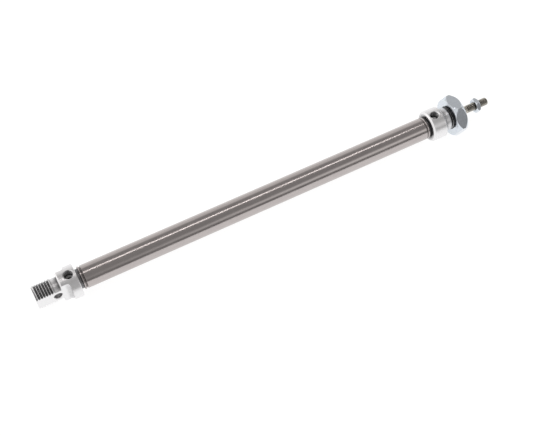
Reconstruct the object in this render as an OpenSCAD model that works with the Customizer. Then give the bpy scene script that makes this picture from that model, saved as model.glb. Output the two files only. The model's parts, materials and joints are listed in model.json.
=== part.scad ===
// Round mini pneumatic cylinder, double acting, with a crimped tube.
// X is the axis and points the way the rod comes out, Z is up through both air ports.
// The origin is the centre of the front cap's mounting shoulder, where a bracket sits.

/* [Cylinder] */
// Travel of the rod
stroke = 160; // [20:5:300]
// Length from the mounting shoulder to the rear cap's back face, less the travel
body_l = 46; // [44:0.5:52]
// Outer diameter of the tube
tube_d = 11.3; // [11.1:0.1:11.8]
// Inner diameter of the tube
bore_d = 10; // [10:0.1:10.2]
// Outer diameter of both end caps
cap_d = 16; // [15:0.5:20]

/* [Caps] */
// Length of the front cap's body
front_cap_l = 8.3; // [8:0.1:10]
// Length of the rear cap's body
rear_cap_l = 8.8; // [8.6:0.1:12]
// Distance of the front port from the mounting shoulder
front_port_x = 4.5; // [4:0.1:5]
// Distance of the rear port from the rear cap's back face
rear_port_x = 5.4; // [5:0.1:6]
// Core diameter of the M5 port threads
port_d = 4.2; // [4.1:0.1:4.4]

/* [Threads] */
// Diameter of the nose and tail threads
cap_thread_d = 12; // [11.8:0.1:12]
// Pitch of the nose and tail threads
cap_pitch = 1.25; // [1:0.25:1.5]
// Length of the threaded nose, with its smooth collar
nose_l = 12; // [12:0.5:14]
// Length of the tail
tail_l = 12.2; // [11.6:0.1:13]
// Thickness of the tail between its two flats
tail_flats = 8; // [7:0.5:9]
// Diameter of the pivot hole through the tail
pivot_d = 4; // [3.8:0.1:4.2]
// Distance of the pivot hole from the rear cap's back face
pivot_x = 2.2; // [2.2:0.1:3]

/* [Rod] */
// Diameter of the piston rod and of its thread
rod_d = 4; // [3.9:0.05:4]
// Distance from the mounting shoulder to the start of the rod's thread
rod_reach = 16; // [14:0.5:20]
// Length of the rod's thread
rod_thread_l = 12; // [12:0.5:16]
// Pitch of the rod's thread
rod_pitch = 0.7; // [0.5:0.1:0.8]

/* [Nuts] */
// Width of the mounting nut across its flats
nut_af = 19; // [17:0.5:22]
// Thickness of the mounting nut
nut_t = 6; // [4:0.5:6]
// Distance of the mounting nut from the shoulder
nut_x = 4.5; // [4.4:0.1:4.8]
// Turn of the mounting nut about the axis
nut_turn = 20; // [0:1:59]
// Width of the rod nut across its flats
rod_nut_af = 7; // [6:0.5:8]
// Thickness of the rod nut
rod_nut_t = 2.2; // [2:0.1:3.2]
// Distance of the rod nut from the start of the rod's thread
rod_nut_x = 4.3; // [2:0.1:6]

/* [Hidden] */
$fn = 96;
eps = 0.01;

bore_r = bore_d / 2;
tube_r = tube_d / 2;
cap_r = cap_d / 2;
rod_r = rod_d / 2;
thread_r = cap_thread_d / 2;

// Caps, from the back to the front along X
back_x = -(body_l + stroke);
rear_face_x = back_x + rear_cap_l;
front_face_x = -front_cap_l;
cap_edge = 0.8;
back_edge = 0.5;
rear_edge = 0.3;
flats_reach = 4.4;
flats_round = 1.5;

// Rolled joint between each cap and the tube
rear_gap = 1.5;
front_gap = 1.15;
neck_r = 4.8;
lip_w = 0.65;
crimp_w = 0.95;
crimp_depth = 0.5;
tube_back_x = rear_face_x + rear_gap;
tube_front_x = front_face_x - front_gap;

// Spigots that stand inside the tube
spigot_l = 6.6;
spigot_r = bore_r - 0.05;
crimp_seat_r = spigot_r - crimp_depth - 0.1;
seal_seat_x = 3;
seal_seat_w = 1.7;
seal_seat_r = 3.55;
ring_r = 0.68;
rear_stop_x = tube_back_x + spigot_l;
front_stop_x = tube_front_x - spigot_l;

// Stop rings on the ends of the spigots
bumper_r = 3.9;
bumper_hole_r = 2.75;
bumper_t = 1.2;
bumper_seat = 0.6;
seat_gap = 0.05;

// Air ways
port_r = port_d / 2;
port_floor_z = 3.6;
port_mouth_r = 2.6;
airway_r = 1.1;
rear_bore_r = 1.5;
front_bore_r = 2.7;
rear_port_pos = back_x + rear_port_x;

// Nose: collar, relief, thread, and what it holds
collar_l = 3.2;
relief_w = 1;
relief_r = 5.1;
thread_edge = 0.8;
thread_depth = 0.75;
pitch_r = thread_r - 0.4;
bush_x = 0.4;
bush_l = 8.1;
bush_r = 3;
seal_l = 2.6;
seal_r = 3.6;
retainer_r = 4;
retainer_hole_r = 2.3;
fit_gap = 0.03;
rod_seal_x = bush_x + bush_l;
retainer_x = rod_seal_x + seal_l;

// Tail: smooth neck, then thread
tail_neck_l = 3.3;
tail_neck_r = 5.4;

// Piston, measured forward from its back face
rest_gap = 0.05;
piston_x = rear_stop_x + bumper_seat + rest_gap;
piston_l = front_stop_x - rear_stop_x - 2 * bumper_seat - stroke - 2 * rest_gap;
piston_r = bore_r - 0.2;
half_l = 5;
lip_w_piston = 2.2;
lip_floor_r = 3.4;
lip_edge = 0.9;
hub_r = 2.55;
magnet_l = 2.2;
magnet_r = 4.6;
washer_t = 0.4;
guide_x = 3.6;
guide_w = 1.2;
guide_floor_r = 4.2;
screw_r = 1.5;
screw_start = 0.2;
shoulder_at = piston_l - 1.5;
core_ring_at = 8.9;
core_ring_w = 0.9;
core_ring_r = 0.4;
piston_nut_af = 5;
piston_nut_t = 1.6;
piston_nut_floor = 1.8;
slip = 0.05;

// Rod end
rod_end_x = rod_reach + rod_thread_l;
rod_edge = 0.5;
rod_groove = 0.3;
rod_groove_depth = 0.25;
rod_pitch_r = rod_r - 0.2;
rod_nut_start = rod_reach + rod_nut_x;

// A solid of revolution about X. Points are [radius, x].
module turned(points) {
    rotate([0, 90, 0])
        rotate_extrude()
            polygon(points);
}

// A ring about X between two radii
module ring(inner_r, outer_r, x, length) {
    turned([[inner_r, x], [outer_r, x], [outer_r, x + length], [inner_r, x + length]]);
}

// An O-ring about X
module o_ring(centre_r, section_r, x) {
    translate([x, 0, 0])
        rotate([0, 90, 0])
            rotate_extrude()
                translate([centre_r, 0])
                    circle(section_r, $fn = 32);
}

// Points of a grooved outline that runs from x0 to x1, one groove for each pitch
function grooves(r, depth, pitch, opening, x0, x1) = [
    for (i = [0 : floor((x1 - x0 - opening) / pitch)], k = [0 : 2])
        let (x = x0 + i * pitch + k * opening / 2)
        [k == 1 ? r - depth : r, x]
];

// A hexagonal nut along X with both faces chamfered
module hex_nut(af, x, thickness, hole_r, mouth_r, turn) {
    corner_r = af / sqrt(3);
    bevel = min((corner_r - af / 2) * 1.6, thickness * 0.45);
    difference() {
        intersection() {
            translate([x, 0, 0])
                rotate([turn, 0, 0])
                    rotate([0, 90, 0])
                        cylinder(r = corner_r, h = thickness, $fn = 6);
            turned([[0, x], [af / 2 - 0.02, x], [corner_r + 0.1, x + bevel],
                [corner_r + 0.1, x + thickness - bevel], [af / 2 - 0.02, x + thickness],
                [0, x + thickness]]);
        }
        turned([[0, x - eps], [mouth_r, x - eps], [hole_r, x + mouth_r - hole_r],
            [hole_r, x + thickness - mouth_r + hole_r], [mouth_r, x + thickness + eps],
            [0, x + thickness + eps]]);
    }
}

// The hole of a port: tapped part, countersunk mouth and the drilling below it
module port_hole(x, depth_z) {
    translate([x, 0, port_floor_z])
        cylinder(r = port_r, h = cap_r);
    translate([x, 0, cap_r - 0.75])
        cylinder(r1 = port_r - 0.1, r2 = port_mouth_r + 0.3, h = 1);
    translate([x, 0, depth_z])
        cylinder(r = airway_r, h = port_floor_z - depth_z + eps);
}

module barrel_tube() {
    inner_r = bore_r;
    b = tube_back_x;
    f = tube_front_x;
    sunk = tube_r - crimp_depth;
    slope = crimp_w / 3;
    color("silver")
        turned([
            [inner_r, b],
            [tube_r, b],
            [tube_r, b + lip_w],
            [sunk, b + lip_w + slope],
            [sunk, b + lip_w + 2 * slope],
            [tube_r, b + lip_w + crimp_w],
            [tube_r, f - lip_w - crimp_w],
            [sunk, f - lip_w - 2 * slope],
            [sunk, f - lip_w - slope],
            [tube_r, f - lip_w],
            [tube_r, f],
            [inner_r, f],
            [inner_r, f - lip_w],
            [inner_r - crimp_depth, f - lip_w - slope],
            [inner_r - crimp_depth, f - lip_w - 2 * slope],
            [inner_r, f - lip_w - crimp_w],
            [inner_r, b + lip_w + crimp_w],
            [inner_r - crimp_depth, b + lip_w + 2 * slope],
            [inner_r - crimp_depth, b + lip_w + slope],
            [inner_r, b + lip_w]
        ]);
}

// Outline of a spigot from the cap's face at x inwards, across the gap in front of the tube.
// way is 1 or -1 along X.
function spigot(x, way, gap) = [
    [neck_r, x],
    [neck_r, x + way * (gap - 0.1)],
    [spigot_r, x + way * (gap - 0.1)],
    [spigot_r, x + way * (gap + lip_w - 0.15)],
    [crimp_seat_r, x + way * (gap + lip_w - 0.05)],
    [crimp_seat_r, x + way * (gap + lip_w + crimp_w + 0.05)],
    [spigot_r, x + way * (gap + lip_w + crimp_w + 0.15)],
    [spigot_r, x + way * (gap + seal_seat_x)],
    [seal_seat_r, x + way * (gap + seal_seat_x)],
    [seal_seat_r, x + way * (gap + seal_seat_x + seal_seat_w)],
    [spigot_r, x + way * (gap + seal_seat_x + seal_seat_w)],
    [spigot_r, x + way * (gap + spigot_l - 0.3)],
    [spigot_r - 0.3, x + way * (gap + spigot_l)]
];

// Cutter for the flat on the +Y side of the tail, which runs on into the body and ends in a round
module flat_cut() {
    start = back_x - tail_l - 1;
    round_x = back_x + flats_reach - flats_round;
    translate([start, tail_flats / 2, -cap_d])
        cube([round_x - start, cap_d, 2 * cap_d]);
    translate([start, tail_flats / 2 + flats_round, -cap_d])
        cube([round_x + flats_round - start, cap_d, 2 * cap_d]);
    translate([round_x, tail_flats / 2 + flats_round, 0])
        cylinder(r = flats_round, h = 2 * cap_d, center = true);
}

module rear_cap() {
    tail_x = back_x - tail_l;
    color("gainsboro")
        difference() {
            turned(concat(
                [[0, tail_x], [thread_r - thread_edge, tail_x], [thread_r, tail_x + thread_edge]],
                grooves(thread_r, thread_depth, cap_pitch, cap_pitch * 0.8, tail_x + thread_edge + 0.2,
                    back_x - tail_neck_l),
                [[tail_neck_r, back_x - tail_neck_l], [tail_neck_r, back_x],
                    [cap_r - back_edge, back_x], [cap_r, back_x + back_edge],
                    [cap_r, rear_face_x - rear_edge], [cap_r - rear_edge, rear_face_x]],
                spigot(rear_face_x, 1, rear_gap),
                [[0, rear_stop_x]]));
            flat_cut();
            mirror([0, 1, 0])
                flat_cut();
            translate([back_x - pivot_x, 0, 0])
                rotate([90, 0, 0])
                    cylinder(d = pivot_d, h = cap_d, center = true);
            port_hole(rear_port_pos, 0);
            ring(0, rear_bore_r, rear_port_pos - rear_bore_r, body_l);
            ring(0, bumper_r + seat_gap, rear_stop_x - bumper_seat, bumper_t);
        }
}

module front_cap() {
    thread_x = collar_l + relief_w;
    free_x = nut_x + nut_t;
    inwards = spigot(front_face_x, -1, front_gap);
    color("gainsboro")
        difference() {
            turned(concat(
                [[0, front_stop_x]],
                [for (i = [len(inwards) - 1 : -1 : 0]) inwards[i]],
                [[cap_r - cap_edge, front_face_x], [cap_r, front_face_x + cap_edge],
                    [cap_r, -cap_edge], [cap_r - cap_edge, 0], [thread_r, 0],
                    [thread_r, collar_l], [relief_r, collar_l], [relief_r, thread_x],
                    [pitch_r, thread_x], [pitch_r, free_x], [thread_r, free_x],
                    [thread_r, nose_l - thread_edge], [thread_r - thread_edge, nose_l],
                    [0, nose_l]]));
            port_hole(-front_port_x, 0);
            ring(0, front_bore_r, front_stop_x - 1, bush_x + 1 - front_stop_x + eps);
            ring(0, bush_r + fit_gap, bush_x, nose_l);
            ring(0, seal_r + fit_gap, rod_seal_x, nose_l);
            ring(0, retainer_r + fit_gap, retainer_x, nose_l);
            ring(0, bumper_r + seat_gap, front_stop_x - bumper_seat, 2 * bumper_seat);
        }
}

module rear_cap_seal() {
    color("#1c1c1c")
        o_ring(seal_seat_r + ring_r + seat_gap, ring_r, tube_back_x + seal_seat_x + seal_seat_w / 2);
}

module front_cap_seal() {
    color("#1c1c1c")
        o_ring(seal_seat_r + ring_r + seat_gap, ring_r, tube_front_x - seal_seat_x - seal_seat_w / 2);
}

module rear_bumper() {
    color("#3a4a63")
        ring(bumper_hole_r, bumper_r, rear_stop_x - bumper_seat, bumper_t);
}

module front_bumper() {
    color("#3a4a63")
        ring(bumper_hole_r, bumper_r, front_stop_x + bumper_seat - bumper_t, bumper_t);
}

module rod_bush() {
    color("peru")
        ring(rod_r + fit_gap, bush_r, bush_x, bush_l);
}

module rod_seal() {
    lip = rod_r + slip;
    color("#2b2b2b")
        turned([[lip, rod_seal_x + 0.05], [lip + 0.5, rod_seal_x + 0.05], [lip + 0.7, rod_seal_x + 1],
            [lip + 0.9, rod_seal_x + 0.05], [seal_r, rod_seal_x + 0.05],
            [seal_r, rod_seal_x + seal_l - 0.05], [lip + 0.4, rod_seal_x + seal_l - 0.05],
            [lip, rod_seal_x + seal_l - 0.4]]);
}

module seal_retainer() {
    color("darkgray")
        ring(retainer_hole_r, retainer_r, retainer_x, nose_l - retainer_x - 0.1);
}

module mounting_nut() {
    color("lightsteelblue")
        hex_nut(nut_af, nut_x, nut_t, pitch_r + fit_gap, thread_r + 0.2, nut_turn);
}

module piston_rod() {
    groove_start = rod_nut_start + rod_nut_t;
    color("slategray")
        turned(concat(
            [[0, piston_x + screw_start], [screw_r - 0.2, piston_x + screw_start],
                [screw_r, piston_x + screw_start + 0.2], [screw_r, piston_x + shoulder_at],
                [rod_r, piston_x + shoulder_at]],
            grooves(rod_r, rod_groove_depth, rod_pitch, rod_groove, rod_reach, rod_nut_start),
            [[rod_r, rod_nut_start], [rod_pitch_r, rod_nut_start], [rod_pitch_r, groove_start],
                [rod_r, groove_start]],
            grooves(rod_r, rod_groove_depth, rod_pitch, rod_groove, groove_start + 0.4,
                rod_end_x - rod_edge),
            [[rod_r, rod_end_x - rod_edge], [rod_r - rod_edge, rod_end_x], [0, rod_end_x]]));
}

module piston_front() {
    start = half_l + magnet_l + washer_t;
    lip_at = piston_l - lip_edge - lip_w_piston;
    color("gainsboro")
        difference() {
            translate([piston_x, 0, 0])
                turned([[0, half_l], [hub_r, half_l], [hub_r, start], [piston_r, start],
                    [piston_r, lip_at], [lip_floor_r, lip_at], [lip_floor_r, lip_at + lip_w_piston],
                    [piston_r, lip_at + lip_w_piston], [piston_r, piston_l], [0, piston_l]]);
            translate([piston_x, 0, 0]) {
                ring(0, screw_r + fit_gap, half_l - 1, piston_l);
                ring(0, rod_r + fit_gap, shoulder_at, piston_l);
                ring(0, screw_r + 2 * core_ring_r + seat_gap, core_ring_at - core_ring_w / 2,
                    core_ring_w);
            }
        }
}

module piston_rear() {
    color("gainsboro")
        difference() {
            translate([piston_x, 0, 0])
                turned([[0, 0], [piston_r, 0], [piston_r, lip_edge], [lip_floor_r, lip_edge],
                    [lip_floor_r, lip_edge + lip_w_piston], [piston_r, lip_edge + lip_w_piston],
                    [piston_r, guide_x], [guide_floor_r, guide_x], [guide_floor_r, guide_x + guide_w],
                    [piston_r, guide_x + guide_w], [piston_r, half_l], [0, half_l]]);
            translate([piston_x, 0, 0]) {
                ring(0, screw_r + fit_gap, -1, piston_l);
                ring(0, piston_nut_af / sqrt(3) + seat_gap, -1, 1 + piston_nut_floor);
            }
        }
}

module piston_magnet() {
    color("#4b4b50")
        ring(hub_r + seat_gap, magnet_r, piston_x + half_l, magnet_l);
}

module magnet_washer() {
    color("ivory")
        ring(hub_r + seat_gap, magnet_r, piston_x + half_l + magnet_l, washer_t);
}

module guide_ring() {
    color("ivory")
        ring(guide_floor_r + slip, bore_r - slip, piston_x + guide_x + slip, guide_w - 2 * slip);
}

// A lip seal of the piston. Its mouth opens the way that way says, 1 or -1 along X.
module piston_seal(middle_x, way) {
    h = lip_w_piston / 2 - slip;
    floor_r = lip_floor_r + slip;
    outer_r = bore_r - slip;
    mid_r = (floor_r + outer_r) / 2;
    translate([middle_x, 0, 0])
        turned([[floor_r, -way * h], [outer_r - 0.25, -way * h], [outer_r - 0.1, way * h * 0.2],
            [outer_r, way * h * 0.9], [outer_r - 0.2, way * h], [mid_r + 0.12, way * h],
            [mid_r, way * h * 0.1], [mid_r - 0.12, way * h], [floor_r, way * h]]);
}

module front_piston_seal() {
    color("#222222")
        piston_seal(piston_x + piston_l - lip_edge - lip_w_piston / 2, 1);
}

module rear_piston_seal() {
    color("#222222")
        piston_seal(piston_x + lip_edge + lip_w_piston / 2, -1);
}

module piston_o_ring() {
    color("#1c1c1c")
        o_ring(screw_r + core_ring_r + fit_gap, core_ring_r, piston_x + core_ring_at);
}

module piston_nut() {
    color("silver")
        hex_nut(piston_nut_af, piston_x + piston_nut_floor - piston_nut_t, piston_nut_t,
            screw_r + fit_gap, screw_r + 0.2, 0);
}

module rod_nut() {
    color("silver")
        hex_nut(rod_nut_af, rod_nut_start, rod_nut_t, rod_pitch_r + fit_gap, rod_r + 0.1, nut_turn);
}

barrel_tube();
rear_cap();
front_cap();
rear_cap_seal();
front_cap_seal();
rear_bumper();
front_bumper();
rod_bush();
rod_seal();
seal_retainer();
mounting_nut();
piston_rod();
piston_front();
piston_rear();
piston_magnet();
magnet_washer();
guide_ring();
front_piston_seal();
rear_piston_seal();
piston_o_ring();
piston_nut();
rod_nut();
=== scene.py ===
"""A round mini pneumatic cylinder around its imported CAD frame: threads, rolled joints, finishes and light.

Lengths are in millimetres until a mesh is made. X is the cylinder's axis and Z is up through its ports.
"""

import json
import math

import bmesh
import bpy
from mathutils import Matrix, Vector


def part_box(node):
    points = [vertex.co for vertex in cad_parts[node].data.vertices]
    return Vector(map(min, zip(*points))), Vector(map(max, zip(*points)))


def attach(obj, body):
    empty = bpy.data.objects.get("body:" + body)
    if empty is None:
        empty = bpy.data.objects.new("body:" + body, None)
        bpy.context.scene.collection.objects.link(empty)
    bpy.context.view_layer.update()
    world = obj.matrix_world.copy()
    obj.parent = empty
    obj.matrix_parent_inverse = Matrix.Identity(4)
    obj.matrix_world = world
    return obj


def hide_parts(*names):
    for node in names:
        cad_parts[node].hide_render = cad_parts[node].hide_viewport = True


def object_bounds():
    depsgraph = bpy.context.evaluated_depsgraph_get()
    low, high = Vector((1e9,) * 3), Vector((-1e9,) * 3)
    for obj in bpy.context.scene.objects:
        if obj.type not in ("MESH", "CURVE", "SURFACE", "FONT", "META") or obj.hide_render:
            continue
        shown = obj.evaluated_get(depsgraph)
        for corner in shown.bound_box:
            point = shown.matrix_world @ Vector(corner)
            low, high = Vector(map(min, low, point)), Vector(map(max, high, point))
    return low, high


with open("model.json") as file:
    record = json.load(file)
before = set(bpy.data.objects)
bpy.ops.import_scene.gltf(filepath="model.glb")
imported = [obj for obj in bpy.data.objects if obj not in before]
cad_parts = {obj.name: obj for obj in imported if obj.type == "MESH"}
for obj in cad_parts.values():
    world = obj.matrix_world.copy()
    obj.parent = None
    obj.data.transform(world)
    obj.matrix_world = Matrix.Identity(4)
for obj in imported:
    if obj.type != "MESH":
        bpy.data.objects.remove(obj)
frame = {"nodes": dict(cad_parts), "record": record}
cad_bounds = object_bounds()

MM = 0.001
SIDES = 144
BODY = "cylinder"
ROD_BODY = "rod"
MOUNTS = {mount["name"]: mount for mount in frame["record"]["mounts"]}


def low(node):
    """The lowest corner of a CAD node in millimetres."""
    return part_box(node)[0] / MM


def high(node):
    """The highest corner of a CAD node in millimetres."""
    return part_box(node)[1] / MM


def mount_x(name):
    return MOUNTS[name]["pos_m"][0] / MM


def mount_r(name):
    return MOUNTS[name]["dims"]["r_mm"]


# Places along the axis
TUBE_BACK = low("barrel_tube").x
TUBE_FRONT = high("barrel_tube").x
TAIL_END = low("rear_cap").x
REAR_STOP = high("rear_cap").x
FRONT_STOP = low("front_cap").x
NOSE_END = high("front_cap").x
ROD_TIP = high("piston_rod").x
REAR_GAP = 1.5
FRONT_GAP = 1.15
LIP_W = 0.65
CRIMP_W = 0.95
REAR_FACE = TUBE_BACK - REAR_GAP
FRONT_FACE = TUBE_FRONT + FRONT_GAP
TAIL_L = 12.2
BACK_FACE = TAIL_END + TAIL_L

# Radii
CAP_R = 8.0
THREAD_R = mount_r("nose_collar")
TUBE_R = high("barrel_tube").z
BORE_R = 5.0
SPIGOT_R = 4.95
NECK_R = 4.8
FLAT_Y = MOUNTS["rear_pivot_eye"]["dims"]["length_mm"] / 2
ROD_R = mount_r("rod_end_thread")

# A nose or tail surface further from the axis than this is its thread.
THREAD_SEEN_R = 5.0

# Seats of the stop rings in the caps' inner faces, and the space between a thread's last ring and its face
SEAT_R = 3.95
SEAT_DEPTH = 0.6
STEP = 0.03

# Threads: crest radius, pitch, depth
CAP_THREAD = (THREAD_R, 1.25, 0.75)
ROD_THREAD = (ROD_R, 0.7, 0.36)
PORT_THREAD = (2.5, 0.8, 0.4)


# ---- meshes ----

def arc_corner(before, corner, after, radius, steps):
    """Points of the round that replaces a corner of an outline."""
    p, a, b = Vector(corner), Vector(before), Vector(after)
    to_a, to_b = (a - p).normalized(), (b - p).normalized()
    half = to_a.angle(to_b) / 2
    back = min(radius / math.tan(half), (a - p).length / 2, (b - p).length / 2)
    radius = back * math.tan(half)
    middle = p + (to_a + to_b).normalized() * (radius / math.sin(half))
    start, end = p + to_a * back - middle, p + to_b * back - middle
    turn = start.angle_signed(end)
    return [tuple(middle + Matrix.Rotation(-turn * k / steps, 2) @ start) for k in range(steps + 1)]


def outline(points, loop=False, steps=4):
    """(x, radius) points from (x, radius, round) corners. A round of 0 leaves a corner sharp."""
    out = []
    for i, (x, r, rounding) in enumerate(points):
        ends = not loop and i in (0, len(points) - 1)
        if ends or not rounding:
            out.append((x, r))
            continue
        before, after = points[i - 1][:2], points[(i + 1) % len(points)][:2]
        out += arc_corner(before, (x, r), after, rounding, steps)
    return out


def groove(phase):
    """Depth of a 60 degree thread, from 0 on its crest to 1 in its root, at a phase in turns."""
    root_ends, crest_starts = 0.2, 0.86
    from_root = abs(phase % 1 - 0.5) * 2
    return min(1.0, max(0.0, (crest_starts - from_root) / (crest_starts - root_ends)))


def thread_radius(thread, x, angle, share=1.0):
    crest, pitch, depth = thread
    return crest - depth * share * groove(x / pitch - angle / math.tau)


def ring(x, radius, sides=SIDES):
    """A ring of points about X. The radius is a number or a function of the angle."""
    points = []
    for i in range(sides):
        angle = math.tau * i / sides
        r = radius(angle) if callable(radius) else radius
        points.append((x, r * math.cos(angle), r * math.sin(angle)))
    return points


def rings(points, sides=SIDES):
    return [ring(x, r, sides) for x, r in points]


def threaded(thread, start, end, limit, fade_in=0.0, grow=0.0, sides=SIDES):
    """Rings of a helical thread from start to end. limit(x, radius) bounds it, as a chamfer does.

    The thread grows from nothing over fade_in and is larger by grow.
    """
    rings_per_turn = 20
    out = []
    steps = math.ceil(abs(end - start) / thread[1] * rings_per_turn)
    for i in range(steps + 1):
        x = start + (end - start) * i / steps
        share = min(1.0, abs(x - start) / fade_in) if fade_in else 1.0
        out.append(ring(x, lambda angle: limit(x, thread_radius(thread, x, angle, share) + grow), sides))
    return out


def solid(name, rows, loop=False):
    """A closed mesh object through rows of points of equal number."""
    count = len(rows[0])
    points = [Vector(p) * MM for row in rows for p in row]
    faces = []
    for i in range(len(rows) if loop else len(rows) - 1):
        a, b = i * count, (i + 1) % len(rows) * count
        faces += [(a + j, a + (j + 1) % count, b + (j + 1) % count, b + j) for j in range(count)]
    if not loop:
        last = (len(rows) - 1) * count
        faces += [tuple(range(count))[::-1], tuple(last + j for j in range(count))]
    mesh = bpy.data.meshes.new(name)
    mesh.from_pydata(points, [], faces)
    thing = bpy.data.objects.new(name, mesh)
    bpy.context.scene.collection.objects.link(thing)
    tidy_mesh(thing)
    return thing


def tidy_mesh(thing):
    """Merges points that fall together and turns every face outwards."""
    merge = 0.0005 * MM
    work = bmesh.new()
    work.from_mesh(thing.data)
    bmesh.ops.remove_doubles(work, verts=work.verts, dist=merge)
    bmesh.ops.dissolve_degenerate(work, edges=work.edges, dist=merge)
    bmesh.ops.recalc_face_normals(work, faces=work.faces)
    work.to_mesh(thing.data)
    work.free()


def apply_modifiers(thing):
    """Bakes an object's modifiers into its mesh."""
    seen = bpy.context.evaluated_depsgraph_get()
    mesh = bpy.data.meshes.new_from_object(thing.evaluated_get(seen))
    old = thing.data
    thing.modifiers.clear()
    thing.data = mesh
    mesh.name = thing.name
    bpy.data.meshes.remove(old)


def combine(thing, tool, operation="DIFFERENCE"):
    """Cuts the tool from a mesh, or keeps what they share, and removes the tool."""
    modifier = thing.modifiers.new(operation, "BOOLEAN")
    modifier.operation = operation
    modifier.solver = "EXACT"
    modifier.object = tool
    apply_modifiers(thing)
    bpy.data.objects.remove(tool)
    tidy_mesh(thing)


def bevel(thing, width, least_angle):
    """Rounds the edges that turn by more than an angle in degrees."""
    modifier = thing.modifiers.new("bevel", "BEVEL")
    modifier.width = width * MM
    modifier.segments = 2
    modifier.limit_method = "ANGLE"
    modifier.angle_limit = math.radians(least_angle)
    modifier.harden_normals = False
    apply_modifiers(thing)


def shade(thing, soft=None):
    """Smooth faces with crisp edges. soft(point in mm) says where a surface has no crisp edges."""
    sharp = math.radians(32)
    work = bmesh.new()
    work.from_mesh(thing.data)
    for face in work.faces:
        face.smooth = True
    for edge in work.edges:
        crisp = len(edge.link_faces) == 2 and edge.calc_face_angle(0) > sharp
        if crisp and soft and all(soft(v.co / MM) for v in edge.verts):
            crisp = False
        edge.smooth = not crisp
    work.to_mesh(thing.data)
    work.free()
    modifier = thing.modifiers.new("even normals", "WEIGHTED_NORMAL")
    modifier.keep_sharp = True
    modifier.weight = 80


def stand_for(thing, node, body, material):
    """Puts a finished mesh in a CAD node's place."""
    thing.data.materials.clear()
    thing.data.materials.append(material)
    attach(thing, body)
    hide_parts(node)


# ---- tools that cut holes ----

def port_tool(x):
    """A tapped hole with a countersunk mouth and a drilling below it, to be cut from above."""
    floor_z, mouth_z, top_z = 3.6, 7.36, 9.0
    airway_r, drill_r, mouth_slope = 1.1, mount_r("front_port"), 0.9
    drill_point, sides = 0.6, 72

    def limit(z, r):
        cone = drill_r + (z - mouth_z) * mouth_slope
        return max(r, drill_r, cone)

    rows = rings([(0.0, airway_r), (floor_z - drill_point, airway_r), (floor_z, drill_r)], sides)
    rows += threaded(PORT_THREAD, floor_z + 0.05, top_z, limit, fade_in=0.8, sides=sides)
    tool = solid("port tool", rows)
    tool.data.transform(Matrix.Rotation(math.radians(-90), 4, "Y"))
    tool.data.transform(Matrix.Translation((x * MM, 0, 0)))
    return tool


def pivot_tool():
    """A cross hole with a small countersink at each flat."""
    r, edge, past = mount_r("rear_pivot_eye"), 0.25, 1.0
    half = [(0, r), (FLAT_Y - edge, r), (FLAT_Y + past, r + edge + past)]
    points = [(-x, radius) for x, radius in half[:0:-1]] + half[1:]
    tool = solid("pivot tool", rings(points, 96))
    tool.data.transform(Matrix.Rotation(math.radians(90), 4, "Z"))
    tool.data.transform(Matrix.Translation((mount_x("rear_pivot_eye") * MM, 0, 0)))
    return tool


def flat_tool(side):
    """The path of the end mill that cuts one flat and ends in the round of the mill."""
    reach, mill_r, steps, far = 4.4, 1.5, 16, 2 * CAP_R
    start, centre_x, centre_y = TAIL_END - 1, BACK_FACE + reach - mill_r, FLAT_Y + mill_r
    shape = [(start, far), (start, FLAT_Y)]
    for i in range(steps + 1):
        angle = math.pi / 2 * (i / steps - 1)
        shape.append((centre_x + mill_r * math.cos(angle), centre_y + mill_r * math.sin(angle)))
    shape.append((centre_x + mill_r, far))
    return solid("flat tool", [[(x, side * y, z) for x, y in shape] for z in (-far, far)])


def in_port(p, port_x):
    """Whether a point lies on the thread of a port, where the surface has no crisp edges."""
    reach, floor_z, mouth_z = 2.55, 3.8, 7.6
    return math.hypot(p.x - port_x, p.y) < reach and floor_z < p.z < mouth_z


# ---- the pieces that show ----

def spigot(face_x, way, gap):
    """Outline of the part of a cap that stands inside the tube, from the cap's face inwards."""
    crimp_r, crimp_end = 4.35, LIP_W + CRIMP_W
    seal_r, seal_start, seal_end = 3.55, 3.0, 4.7
    length, edge = 6.6, 0.3
    steps = [
        (-gap, NECK_R, 0.1), (-0.1, NECK_R, 0), (-0.09, SPIGOT_R, 0), (LIP_W - 0.15, SPIGOT_R, 0),
        (LIP_W - 0.05, crimp_r, 0), (crimp_end + 0.05, crimp_r, 0), (crimp_end + 0.15, SPIGOT_R, 0),
        (seal_start, SPIGOT_R, 0), (seal_start, seal_r, 0), (seal_end, seal_r, 0), (seal_end, SPIGOT_R, 0),
        (length - edge, SPIGOT_R, 0), (length, SPIGOT_R - edge, 0),
    ]
    return [(face_x + way * (gap + x), r, rounding) for x, r, rounding in steps]


def make_tube():
    """The barrel, with rolled lips and a crimp groove near each end."""
    def end(x, way, r):
        depth, edge = 0.5, 0.14
        steps = [
            (0.0, 0, 0.22), (LIP_W, 0, edge), (LIP_W + CRIMP_W / 3, -depth, edge),
            (LIP_W + CRIMP_W * 2 / 3, -depth, edge), (LIP_W + CRIMP_W, 0, edge),
        ]
        return [(x + way * along, r + out, rounding) for along, out, rounding in steps]

    outer = end(TUBE_BACK, 1, TUBE_R) + end(TUBE_FRONT, -1, TUBE_R)[::-1]
    inner = end(TUBE_FRONT, -1, BORE_R) + end(TUBE_BACK, 1, BORE_R)[::-1]
    tube = solid("tube", rings(outline(outer + inner, loop=True)), loop=True)
    shade(tube)
    return tube


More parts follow.
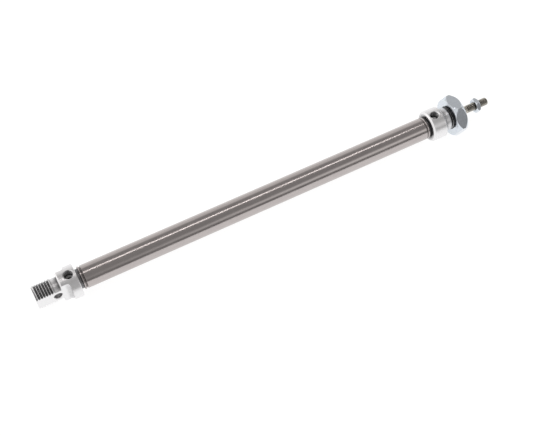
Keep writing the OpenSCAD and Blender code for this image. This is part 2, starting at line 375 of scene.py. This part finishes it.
def make_rear_cap():
    """Rear cap: port, milled flats, cross hole and threaded tail."""
    bore_r, neck_r, neck_l, run_in = 1.5, 5.4, 3.3, 0.02
    thread_edge, front_edge, back_edge = 0.8, 0.3, 0.5
    bore_end = mount_x("rear_port") - bore_r
    inside = [
        (bore_end, bore_r, 0), (REAR_STOP - SEAT_DEPTH, bore_r, 0), (REAR_STOP - SEAT_DEPTH, SEAT_R, 0),
        (REAR_STOP, SEAT_R, 0),
    ]
    body = [
        (REAR_FACE, CAP_R - front_edge, 0.1), (REAR_FACE - front_edge, CAP_R, 0.15),
        (BACK_FACE + back_edge, CAP_R, 0.15), (BACK_FACE, CAP_R - back_edge, 0.1),
        (BACK_FACE, neck_r, 0.2), (BACK_FACE - neck_l, neck_r, 0),
    ]
    rows = rings(outline(inside + spigot(REAR_FACE, 1, REAR_GAP)[::-1] + body))
    thread_top = TAIL_END + thread_edge

    def chamfer(x, r):
        return min(r, THREAD_R - max(0.0, thread_top - x))

    rows += threaded(CAP_THREAD, BACK_FACE - neck_l - run_in, TAIL_END + STEP, chamfer, fade_in=0.5)
    rows += rings([(TAIL_END, THREAD_R - thread_edge - STEP)])
    cap = solid("rear_cap_body", rows)
    combine(cap, flat_tool(1))
    combine(cap, flat_tool(-1))
    combine(cap, pivot_tool())
    combine(cap, port_tool(mount_x("rear_port")))

    def on_thread(p):
        between_flats = abs(p.y) < FLAT_Y - 0.01
        return p.x < BACK_FACE - neck_l and between_flats and math.hypot(p.y, p.z) > THREAD_SEEN_R

    shade(cap, soft=lambda p: on_thread(p) or in_port(p, mount_x("rear_port")))
    return cap


def make_front_cap():
    """Front cap: port, shoulder, smooth collar and threaded nose, bored for the rod's bush and seal."""
    edge, collar_l, relief_w, relief_r, relief_slope = 0.8, 3.2, 1.0, 5.1, 0.2
    thread_start = collar_l + relief_w
    relief_end = thread_start - relief_slope
    outer = [
        (FRONT_FACE, CAP_R - edge, 0.1), (FRONT_FACE + edge, CAP_R, 0.15), (-edge, CAP_R, 0.15),
        (0, CAP_R - edge, 0.1), (0, THREAD_R, 0.1), (collar_l, THREAD_R, 0.12),
        (collar_l + relief_slope, relief_r, 0.1), (relief_end, relief_r, 0),
    ]
    retainer_r, seal_r, bush_r = 4.03, 3.63, 3.03
    seal_end, bush_end, bush_start = high("rod_seal").x + 0.05, high("rod_bush").x, low("rod_bush").x
    bore_r, seat_x = 2.7, FRONT_STOP + SEAT_DEPTH
    bores = [
        (NOSE_END, retainer_r, 0.08), (seal_end, retainer_r, 0), (seal_end, seal_r, 0), (bush_end, seal_r, 0),
        (bush_end, bush_r, 0), (bush_start, bush_r, 0), (bush_start, bore_r, 0), (seat_x, bore_r, 0),
        (seat_x, SEAT_R, 0), (FRONT_STOP, SEAT_R, 0),
    ]
    inwards = spigot(FRONT_FACE, -1, FRONT_GAP)
    rows = rings(outline(inwards[::-1] + outer))
    nose_top = NOSE_END - edge

    def chamfer(x, r):
        at_tip = THREAD_R - max(0.0, x - nose_top)
        at_relief = relief_r + max(0.0, x - relief_end) * 1.2
        return min(r, at_tip, at_relief)

    rows += threaded(CAP_THREAD, relief_end + 0.05, NOSE_END - STEP, chamfer)
    rows += rings(outline([(NOSE_END, THREAD_R - edge - STEP, 0)] + bores))
    cap = solid("front_cap_body", rows, loop=True)
    combine(cap, port_tool(mount_x("front_port")))

    def soft(p):
        on_nose = p.x > thread_start and math.hypot(p.y, p.z) > THREAD_SEEN_R
        return on_nose or in_port(p, mount_x("front_port"))

    shade(cap, soft=soft)
    return cap


def make_nut(name, node, thread, mouth, first_corner):
    """A hexagonal nut with both faces chamfered and a real thread that matches its bolt's.

    mouth is the countersink past the crest, and first_corner is a corner's angle in degrees.
    """
    chamfer_slope, play, past = 1.6, 0.06, 0.3
    start, end = low(node).x, high(node).x
    angles = [math.radians(first_corner + 60 * i) for i in range(6)]
    corner_r = high(node).z / max(math.sin(angle) for angle in angles)
    flat_r = corner_r * math.cos(math.pi / 6)
    fall = (corner_r - flat_r) * chamfer_slope
    hexagon = [[(x, corner_r * math.cos(a), corner_r * math.sin(a)) for a in angles] for x in (start, end)]
    nut = solid(name, hexagon)
    cone = [
        (start - 0.01, flat_r - 0.02), (start, flat_r - 0.02), (start + fall, corner_r + 0.1),
        (end - fall, corner_r + 0.1), (end, flat_r - 0.02), (end + 0.01, flat_r - 0.02),
    ]
    combine(nut, solid("cone", rings(cone, 192)), "INTERSECT")
    bevel(nut, corner_r * 0.012, least_angle=22)
    crest, _, depth = thread
    hole_r = crest - depth + play

    def limit(x, r):
        from_face = min(x - start, end - x)
        return max(r, crest + mouth - from_face)

    rows = threaded(thread, start - past, end + past, limit, grow=play, sides=96)
    combine(nut, solid("tap", rows))
    shade(nut, soft=lambda p: hole_r - 0.05 < math.hypot(p.y, p.z) < crest + 0.1)
    return nut


def make_rod():
    """The piston rod, shouldered for the piston at the back and threaded at the tip."""
    screw_r, screw_edge, shoulder_depth = 1.5, 0.2, 1.5
    thread_l, run_out, edge, sides = 12, 0.8, 0.5, 96
    start, shoulder = low("piston_rod").x, high("piston_front").x - shoulder_depth
    thread_start = ROD_TIP - thread_l
    rows = rings(outline([
        (start, screw_r - screw_edge, 0), (start + screw_edge, screw_r, 0), (shoulder, screw_r, 0),
        (shoulder, ROD_R, 0.05), (thread_start - run_out - 0.1, ROD_R, 0),
    ]), sides)

    def chamfer(x, r):
        return min(r, ROD_R - max(0.0, x - ROD_TIP + edge))

    thread = (ROD_THREAD, thread_start - run_out, ROD_TIP - STEP)
    rows += threaded(*thread, chamfer, fade_in=run_out, sides=sides)
    rows += rings([(ROD_TIP, ROD_R - edge - STEP)], sides)
    rod = solid("rod_body", rows)
    shade(rod, soft=lambda p: p.x > thread_start - 1 and math.hypot(p.y, p.z) > screw_r + 0.05)
    return rod


def make_retainer():
    """The pressed ring that holds the rod's seal in the nose."""
    start, end, outer = low("seal_retainer").x, high("seal_retainer").x, high("seal_retainer").z
    inner, rim, dish = 2.3, 0.7, 0.25
    shape = [
        (start, inner, 0.05), (start, outer, 0.05), (end, outer, 0.15), (end, outer - rim, 0.1),
        (end - dish, outer - rim - dish, 0.1), (end - dish, inner, 0.1),
    ]
    retainer = solid("retainer_ring", rings(outline(shape, loop=True), 96), loop=True)
    shade(retainer)
    return retainer


# ---- finishes ----

class Finish:
    """A metal or plastic finish built from nodes, with object coordinates in millimetres."""

    def __init__(self, name, metallic, base, roughness):
        self.material = bpy.data.materials.new(name)
        self.material.use_nodes = True
        self.tree = self.material.node_tree
        self.shader = self.tree.nodes["Principled BSDF"]
        self.shader.inputs["Metallic"].default_value = metallic
        self.base = base
        self.roughness = roughness
        self.colour = None
        self.height = None
        self.rough = None
        coords = self.node("ShaderNodeTexCoord")
        scaled = self.node("ShaderNodeVectorMath", operation="SCALE")
        scaled.inputs["Scale"].default_value = 1 / MM
        self.link(coords.outputs["Object"], scaled.inputs[0])
        self.mm = scaled.outputs[0]

    def node(self, kind, **settings):
        made = self.tree.nodes.new(kind)
        for key, value in settings.items():
            setattr(made, key, value)
        return made

    def link(self, a, b):
        self.tree.links.new(a, b)

    def maths(self, operation, a, b=0.0, clamp=False):
        made = self.node("ShaderNodeMath", operation=operation, use_clamp=clamp)
        for socket, value in zip(made.inputs, (a, b)):
            if isinstance(value, (int, float)):
                socket.default_value = value
            else:
                self.link(value, socket)
        return made.outputs[0]

    def parts(self, vector):
        split = self.node("ShaderNodeSeparateXYZ")
        self.link(vector, split.inputs[0])
        return split.outputs

    def around(self):
        """(x, distance from the axis, 0): constant along each turning mark."""
        x, y, z = self.parts(self.mm)
        squares = self.maths("ADD", self.maths("MULTIPLY", y, y), self.maths("MULTIPLY", z, z))
        distance = self.maths("SQRT", squares)
        made = self.node("ShaderNodeCombineXYZ")
        self.link(x, made.inputs[0])
        self.link(distance, made.inputs[1])
        return made.outputs[0]

    def noise(self, scale, stretch=(1, 1, 1), detail=3.0, coords=None):
        """Noise from 0 to 1. scale is in cells for each millimetre."""
        mapping = self.node("ShaderNodeMapping")
        mapping.inputs["Scale"].default_value = stretch
        self.link(coords or self.mm, mapping.inputs["Vector"])
        made = self.node("ShaderNodeTexNoise")
        made.inputs["Scale"].default_value = scale
        made.inputs["Detail"].default_value = detail
        made.inputs["Roughness"].default_value = 0.5
        self.link(mapping.outputs[0], made.inputs["Vector"])
        return made.outputs[0]

    def vary(self, mask, low_end, high_end):
        """Maps the middle of a mask, where noise mostly lies, to a range of numbers."""
        made = self.node("ShaderNodeMapRange")
        made.inputs["From Min"].default_value = 0.3
        made.inputs["From Max"].default_value = 0.7
        made.inputs["To Min"].default_value = low_end
        made.inputs["To Max"].default_value = high_end
        self.link(mask, made.inputs["Value"])
        return made.outputs[0]

    def tint(self, mask, colour, amount):
        """Mixes a colour over the base where the mask is high."""
        mix = self.node("ShaderNodeMix", data_type="RGBA")
        self.link(self.maths("MULTIPLY", mask, amount, clamp=True), mix.inputs["Factor"])
        if self.colour is None:
            mix.inputs["A"].default_value = (*self.base, 1)
        else:
            self.link(self.colour, mix.inputs["A"])
        mix.inputs["B"].default_value = (*colour, 1)
        self.colour = mix.outputs["Result"]

    def roughen(self, mask, amount):
        """Adds to the roughness, by amount at most, where the mask is high."""
        part = self.maths("MULTIPLY", self.maths("SUBTRACT", mask, 0.5), amount)
        self.rough = self.maths("ADD", part, self.roughness if self.rough is None else self.rough, clamp=True)

    def emboss(self, mask, depth):
        """Adds relief of a depth in millimetres."""
        part = self.maths("MULTIPLY", mask, depth * MM)
        self.height = part if self.height is None else self.maths("ADD", part, self.height)

    def edges(self, radius):
        """A mask that is high on edges with a radius in millimetres, for painted highlights on them."""
        gain = 8.0
        rounded = self.node("ShaderNodeBevel", samples=6)
        rounded.inputs["Radius"].default_value = radius * MM
        plain = self.node("ShaderNodeNewGeometry")
        dot = self.node("ShaderNodeVectorMath", operation="DOT_PRODUCT")
        self.link(rounded.outputs[0], dot.inputs[0])
        self.link(plain.outputs["Normal"], dot.inputs[1])
        return self.maths("MULTIPLY", self.maths("SUBTRACT", 1.0, dot.outputs["Value"]), gain, clamp=True)

    def painted_shade_mask(self, reach):
        """A mask for painted shade: high where surfaces closer than reach millimetres hide the sky."""
        shelter = self.node("ShaderNodeAmbientOcclusion", samples=8)
        shelter.inputs["Distance"].default_value = reach * MM
        return self.maths("SUBTRACT", 1.0, shelter.outputs["AO"], clamp=True)

    def done(self, **settings):
        inputs = self.shader.inputs
        if self.colour is None:
            inputs["Base Color"].default_value = (*self.base, 1)
        else:
            self.link(self.colour, inputs["Base Color"])
        if self.rough is None:
            inputs["Roughness"].default_value = self.roughness
        else:
            self.link(self.rough, inputs["Roughness"])
        if self.height is not None:
            bump = self.node("ShaderNodeBump")
            bump.inputs["Strength"].default_value = 1.0
            bump.inputs["Distance"].default_value = 1.0
            self.link(self.height, bump.inputs["Height"])
            self.link(bump.outputs[0], inputs["Normal"])
        for key, value in settings.items():
            inputs[key.replace("_", " ")].default_value = value
        return self.material


def tube_finish():
    """Drawn and polished stainless steel, with fine marks along and around it."""
    f = Finish("stainless tube", 1.0, (0.475, 0.435, 0.43), 0.20)
    cloud = f.noise(0.35, (0.5, 1, 1), 4)
    drawn = f.noise(9.0, (0.03, 1, 1), 4)
    polish = f.noise(7.0, (1, 0.06, 0.06), 3)
    f.tint(f.vary(cloud, 0, 1), (0.55, 0.51, 0.50), 0.5)
    f.tint(f.vary(drawn, 0, 1), (0.42, 0.39, 0.37), 0.35)
    # Painted shade: near-black mixed into the colour where nearby surfaces hide the sky, in the crimps and at
    # the gaps to the caps.
    f.tint(f.painted_shade_mask(0.7), (0.02, 0.02, 0.02), 1.9)
    f.roughen(cloud, 0.12)
    f.roughen(drawn, 0.10)
    f.emboss(drawn, 0.0020)
    f.emboss(polish, 0.0012)
    return f.done()


def cap_finish():
    """Turned aluminium under a clear anodised film."""
    f = Finish("turned aluminium", 1.0, (0.84, 0.835, 0.845), 0.38)
    turning = f.noise(5.0, (1, 1, 1), 2, f.around())
    cloud = f.noise(0.5, detail=4)
    grain = f.noise(14.0, detail=2)
    f.tint(f.vary(turning, 0, 1), (0.74, 0.74, 0.76), 0.35)
    f.tint(f.vary(cloud, 0, 1), (0.88, 0.87, 0.86), 0.4)
    # Painted highlight: lighter colour on the rounded edges.
    f.tint(f.edges(0.12), (0.94, 0.94, 0.95), 0.25)
    # Painted shade: near-black mixed into the colour in gaps, thread roots and the port, where nearby
    # surfaces hide the sky.
    f.tint(f.painted_shade_mask(2.4), (0.03, 0.03, 0.033), 1.9)
    f.roughen(cloud, 0.10)
    f.roughen(grain, 0.10)
    f.emboss(turning, 0.0045)
    f.emboss(grain, 0.0012)
    return f.done()


def zinc_finish():
    """Zinc plated steel: bright, faintly blue, with small pits and marks."""
    f = Finish("zinc plate", 1.0, (0.66, 0.72, 0.765), 0.16)
    cloud = f.noise(0.8, detail=4)
    fleck = f.noise(6.0, detail=3)
    f.tint(f.vary(cloud, 0, 1), (0.62, 0.63, 0.75), 0.6)
    f.tint(f.vary(fleck, 0, 1), (0.74, 0.78, 0.77), 0.4)
    # Painted highlight: near-white colour on the nut's edges and chamfers.
    f.tint(f.edges(0.25), (0.92, 0.94, 0.94), 0.9)
    # Painted shade: near-black mixed into the colour in the thread and other places where nearby surfaces
    # hide the sky.
    f.tint(f.painted_shade_mask(1.3), (0.03, 0.03, 0.035), 1.4)
    f.roughen(cloud, 0.12)
    f.roughen(fleck, 0.10)
    f.emboss(cloud, 0.010)
    f.emboss(fleck, 0.0035)
    return f.done()


def rod_finish():
    """Ground stainless steel rod."""
    f = Finish("ground rod", 1.0, (0.50, 0.475, 0.42), 0.18)
    grinding = f.noise(12.0, (1, 0.05, 0.05), 3)
    cloud = f.noise(0.6, detail=3)
    f.tint(f.vary(cloud, 0, 1), (0.58, 0.55, 0.50), 0.5)
    # Painted shade: near-black mixed into the colour where nearby surfaces hide the sky, as in the thread's
    # roots.
    f.tint(f.painted_shade_mask(0.7), (0.03, 0.03, 0.03), 1.4)
    f.roughen(cloud, 0.08)
    f.roughen(grinding, 0.08)
    f.emboss(grinding, 0.0012)
    return f.done()


def pressed_finish():
    """Plain pressed steel."""
    f = Finish("pressed steel", 1.0, (0.45, 0.45, 0.45), 0.35)
    turning = f.noise(6.0, detail=2, coords=f.around())
    f.tint(f.vary(turning, 0, 1), (0.36, 0.36, 0.36), 0.5)
    f.roughen(turning, 0.15)
    f.emboss(turning, 0.003)
    return f.done()


def rubber_finish(name, base, light):
    """A moulded seal: dull, with a faint bloom."""
    f = Finish(name, 0.0, base, 0.55)
    bloom = f.noise(1.5, detail=4)
    grain = f.noise(16.0, detail=2)
    f.tint(f.vary(bloom, 0, 1), light, 0.5)
    f.roughen(bloom, 0.2)
    f.emboss(grain, 0.004)
    return f.done()


def bronze_finish():
    """Sintered bronze: porous and slightly dark."""
    f = Finish("sintered bronze", 1.0, (0.60, 0.40, 0.20), 0.42)
    pores = f.noise(10.0, detail=3)
    f.tint(f.vary(pores, 0, 1), (0.42, 0.27, 0.13), 0.6)
    f.roughen(pores, 0.2)
    f.emboss(pores, 0.01)
    return f.done()


def magnet_finish():
    """Sintered ferrite: dark grey and matt."""
    f = Finish("ferrite", 0.0, (0.05, 0.05, 0.055), 0.6)
    grain = f.noise(8.0, detail=3)
    f.tint(f.vary(grain, 0, 1), (0.10, 0.10, 0.11), 0.6)
    f.roughen(grain, 0.2)
    f.emboss(grain, 0.008)
    return f.done()


def acetal_finish():
    """Machined white acetal."""
    f = Finish("acetal", 0.0, (0.80, 0.78, 0.71), 0.4)
    turning = f.noise(6.0, detail=2, coords=f.around())
    f.tint(f.vary(turning, 0, 1), (0.72, 0.70, 0.63), 0.5)
    f.roughen(turning, 0.15)
    f.emboss(turning, 0.004)
    return f.done()


def dress(finishes):
    """Gives every CAD node that still shows the finish of its material slot."""
    for part in frame["record"]["subparts"]:
        mesh = frame["nodes"][part["node"]].data
        mesh.materials.clear()
        mesh.materials.append(finishes[part["material_slot"]])


# ---- studio ----

def make_floor(z):
    """A wide pale light table under the cylinder."""
    half = 4000.0
    corners = [(-half, -half), (half, -half), (half, half), (-half, half)]
    mesh = bpy.data.meshes.new("floor")
    mesh.from_pydata([(x * MM, y * MM, z * MM) for x, y in corners], [], [(0, 1, 2, 3)])
    floor = bpy.data.objects.new("floor", mesh)
    bpy.context.scene.collection.objects.link(floor)
    f = Finish("light table", 0.0, (0.30, 0.30, 0.30), 0.9)
    f.tint(f.noise(0.02, detail=2), (0.27, 0.27, 0.27), 0.5)
    f.shader.inputs["Emission Color"].default_value = (1.0, 1.0, 1.0, 1)
    mesh.materials.append(f.done(Specular_IOR_Level=0.1, Emission_Strength=0.86))


def make_sky():
    """A dim room, bright low down behind the object and to its front right and its left."""
    world = bpy.data.worlds.new("studio")
    bpy.context.scene.world = world
    world.use_nodes = True
    nodes, links = world.node_tree.nodes, world.node_tree.links
    coords = nodes.new("ShaderNodeTexCoord")
    split = nodes.new("ShaderNodeSeparateXYZ")
    links.new(coords.outputs["Generated"], split.inputs[0])

    def ramp(socket, start, end, low_end, high_end):
        """Goes smoothly from low_end to high_end as the socket goes from start to end."""
        made = nodes.new("ShaderNodeMapRange")
        made.interpolation_type = "SMOOTHSTEP"
        for key, value in zip(("From Min", "From Max", "To Min", "To Max"), (start, end, low_end, high_end)):
            made.inputs[key].default_value = value
        links.new(socket, made.inputs["Value"])
        return made.outputs[0]

    def maths(operation, a, b):
        made = nodes.new("ShaderNodeMath")
        made.operation = operation
        for socket, value in zip(made.inputs, (a, b)):
            if isinstance(value, float):
                socket.default_value = value
            else:
                links.new(value, socket)
        return made.outputs[0]

    behind = ramp(split.outputs["Y"], 0.1, 0.75, 0.0, 1.0)
    low_down = ramp(split.outputs["Z"], 0.35, 0.75, 1.0, 0.0)
    glow = maths("MULTIPLY", maths("MULTIPLY", behind, low_down), 0.62)
    to_right = ramp(split.outputs["X"], -0.05, 0.45, 0.0, 1.0)
    to_front = ramp(split.outputs["Y"], -0.85, 0.0, 1.0, 0.0)
    level = ramp(split.outputs["Z"], 0.30, 0.46, 0.0, 1.0)
    below_top = ramp(split.outputs["Z"], 0.56, 0.76, 0.8, 0.0)
    panel = maths("MULTIPLY", maths("MULTIPLY", to_right, to_front), maths("MULTIPLY", level, below_top))
    to_left = ramp(split.outputs["X"], -0.85, -0.35, 0.8, 0.0)
    overhead = ramp(split.outputs["Z"], 0.1, 0.8, 0.0, 1.0)
    room = maths("ADD", maths("MULTIPLY", overhead, 0.10), 0.24)
    total = maths("ADD", maths("ADD", glow, panel), maths("ADD", room, to_left))
    background = nodes["Background"]
    background.inputs["Color"].default_value = (1.0, 0.985, 0.975, 1)
    links.new(total, background.inputs["Strength"])


def make_light(name, place, aim, size, power, shows=True, colour=(1, 1, 1)):
    """A rectangular soft light. One that doesn't show lights the floor and makes no reflection."""
    data = bpy.data.lights.new(name, "AREA")
    data.shape = "RECTANGLE"
    data.size, data.size_y = (side * MM for side in size)
    data.energy = power
    data.color = colour
    lamp = bpy.data.objects.new(name, data)
    lamp.location = Vector(place) * MM
    lamp.rotation_euler = (Vector(aim) - Vector(place)).to_track_quat("-Z", "Y").to_euler()
    lamp.visible_glossy = shows
    bpy.context.scene.collection.objects.link(lamp)


def make_camera():
    """The camera above the rear left of the cylinder, which sees it run up to the right."""
    azimuth, elevation = math.radians(-27.54), math.radians(58.36)
    distance, aim = 486.68, Vector((-90, 0, 0))
    shift_right, shift_up = -4.90, -13.92
    focal_px, image_w = 1000.0, 547
    back = Vector((
        math.sin(azimuth) * math.cos(elevation), -math.cos(azimuth) * math.cos(elevation), math.sin(elevation)
    ))
    right = Vector((math.cos(azimuth), math.sin(azimuth), 0))
    up = back.cross(right)
    place = aim + back * distance + right * shift_right + up * shift_up
    data = bpy.data.cameras.new("camera")
    data.sensor_width = 36
    data.lens = data.sensor_width * focal_px / image_w
    data.clip_start = 0.01
    camera = bpy.data.objects.new("camera", data)
    turn = Matrix((right, up, back)).transposed().to_4x4()
    camera.matrix_world = Matrix.Translation(place * MM) @ turn
    bpy.context.scene.collection.objects.link(camera)
    bpy.context.scene.camera = camera


# ---- build ----

zinc = zinc_finish()
finishes = {
    "stainless_tube": tube_finish(),
    "cap_aluminium": cap_finish(),
    "rod_steel": rod_finish(),
    "nut_steel": zinc,
    "retainer_steel": pressed_finish(),
    "seal_rubber": rubber_finish("nitrile rubber", (0.012, 0.012, 0.012), (0.03, 0.03, 0.03)),
    "bumper_urethane": rubber_finish("urethane", (0.03, 0.05, 0.09), (0.06, 0.09, 0.14)),
    "bush_bronze": bronze_finish(),
    "piston_aluminium": cap_finish(),
    "magnet_ferrite": magnet_finish(),
    "guide_plastic": acetal_finish(),
}
dress(finishes)

# Both nuts stand with a corner at this angle from +Y towards +Z.
NUT_CORNER = 50.0
stand_for(make_tube(), "barrel_tube", BODY, finishes["stainless_tube"])
stand_for(make_rear_cap(), "rear_cap", BODY, finishes["cap_aluminium"])
stand_for(make_front_cap(), "front_cap", BODY, finishes["cap_aluminium"])
stand_for(make_retainer(), "seal_retainer", BODY, finishes["retainer_steel"])
mounting_nut = make_nut("mounting_nut_body", "mounting_nut", CAP_THREAD, 0.2, NUT_CORNER)
stand_for(mounting_nut, "mounting_nut", BODY, zinc)
stand_for(make_rod(), "piston_rod", ROD_BODY, finishes["rod_steel"])
rod_nut = make_nut("rod_nut_body", "rod_nut", ROD_THREAD, 0.1, NUT_CORNER)
stand_for(rod_nut, "rod_nut", ROD_BODY, zinc)

make_floor(cad_bounds[0].z / MM - 0.02)
make_sky()
make_light("overhead strip", (-95, 140, 800), (-95, 0, 0), (900, 70), 0.7, colour=(1, 0.96, 0.95))
make_light("floor wash", (-100, 0, 2500), (-100, 0, 0), (2500, 2500), 12, shows=False)
make_camera()
bpy.context.scene.view_settings.view_transform = "Standard"
